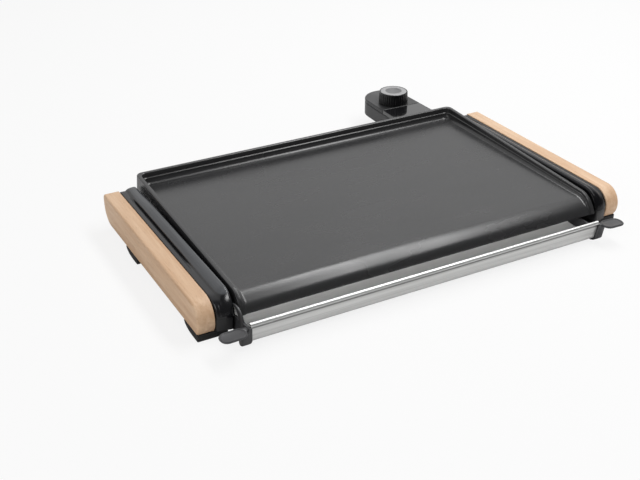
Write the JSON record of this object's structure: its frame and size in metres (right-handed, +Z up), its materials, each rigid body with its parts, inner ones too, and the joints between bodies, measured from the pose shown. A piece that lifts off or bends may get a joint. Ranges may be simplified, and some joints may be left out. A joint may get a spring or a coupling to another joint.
{
  "type": "electric plancha",
  "caption": "Table-top electric plancha: rolled-front non-stick plate between wood handles, steel drip gutter, plug-in thermostat with knob.",
  "frame": {"origin": "on the table, under the middle of the whole object with its gutter and thermostat in place", "axes": "+X to the right across the plate, -Y towards the front where the gutter is, +Z up"},
  "size_m": [0.51, 0.44, 0.0544],
  "materials": {
    "beech": "oiled beech, fine grain along the length",
    "gloss_black": "glossy black moulding",
    "satin_black": "satin black moulding",
    "rubber_black": "matt black rubber",
    "screw_steel": "plain steel",
    "zinc_plated": "zinc-plated sheet",
    "tin_sheet": "bright aluminised sheet",
    "silicone": "heat-proof silicone",
    "nonstick_coating": "die-cast aluminium with a dark grey non-stick coating",
    "brass_contact": "bright contact metal",
    "brushed_steel": "stainless sheet brushed along its length",
    "grey_plastic": "dark grey moulding",
    "ceramic": "heat-proof insulating moulding",
    "knob_ring_grey": "silver-grey cap",
    "knob_black": "black moulding"
  },
  "bodies": {
    "base": {"side_cheek_left": "gloss_black", "side_cheek_right": "gloss_black", "side_tray_left": "satin_black", "side_tray_right": "satin_black", "wood_handle_left": "beech", "wood_handle_right": "beech", "foot_front_left": "rubber_black", "foot_front_right": "rubber_black", "foot_rear_left": "rubber_black", "foot_rear_right": "rubber_black", "cheek_screw_front_left": "screw_steel", "cheek_screw_front_right": "screw_steel", "cheek_screw_rear_left": "screw_steel", "cheek_screw_rear_right": "screw_steel", "handle_screw_front_left": "screw_steel", "handle_screw_front_right": "screw_steel", "handle_screw_rear_left": "screw_steel", "handle_screw_rear_right": "screw_steel", "rail_screw_front_left": "screw_steel", "rail_screw_front_right": "screw_steel", "rail_screw_rear_left": "screw_steel", "rail_screw_rear_right": "screw_steel", "heat_shield": "tin_sheet", "front_rail": "zinc_plated", "rear_rail": "zinc_plated", "plate_pad_front_left": "silicone", "plate_pad_front_right": "silicone", "plate_pad_rear_left": "silicone", "plate_pad_rear_right": "silicone"},
    "plate": {"cooking_plate": "nonstick_coating", "heating_element": "screw_steel", "terminal_pin_left": "brass_contact", "terminal_pin_right": "brass_contact", "socket_shroud": "tin_sheet", "socket_screw_left": "screw_steel", "socket_screw_right": "screw_steel"},
    "gutter": {"drip_gutter": "brushed_steel", "gutter_cap_left": "grey_plastic", "gutter_cap_right": "grey_plastic"},
    "thermostat": {"thermostat_base": "satin_black", "thermostat_rear_cover": "satin_black", "thermostat_front_cover": "gloss_black", "contact_carrier": "ceramic", "contact_sleeve_left": "brass_contact", "contact_sleeve_right": "brass_contact", "earth_clip": "brass_contact", "sensor_probe": "screw_steel", "switch_block": "ceramic", "bimetal_blade": "brass_contact", "cord_gland": "rubber_black", "thermostat_screw_front": "screw_steel", "thermostat_screw_rear": "screw_steel"},
    "knob": {"control_knob": "knob_black", "knob_cap": "knob_ring_grey", "knob_spindle": "screw_steel"}
  },
  "joints": [
    {"name": "plate_lift", "type": "slide", "parent": "base", "child": "plate", "axis": [0, 0, 1], "range_m": [0, 0.08]},
    {"name": "gutter_pull", "type": "slide", "parent": "base", "child": "gutter", "axis": [0, -1, 0], "range_m": [0, 0.1]},
    {"name": "thermostat_pull", "type": "slide", "parent": "plate", "child": "thermostat", "axis": [0, 1, 0], "range_m": [0, 0.12]},
    {"name": "knob_turn", "type": "hinge", "parent": "thermostat", "child": "knob", "pos_m": [0.1778, 0.1731, 0.0393], "axis": [0, 0, 1], "range_deg": [-270, 0]}
  ]
}
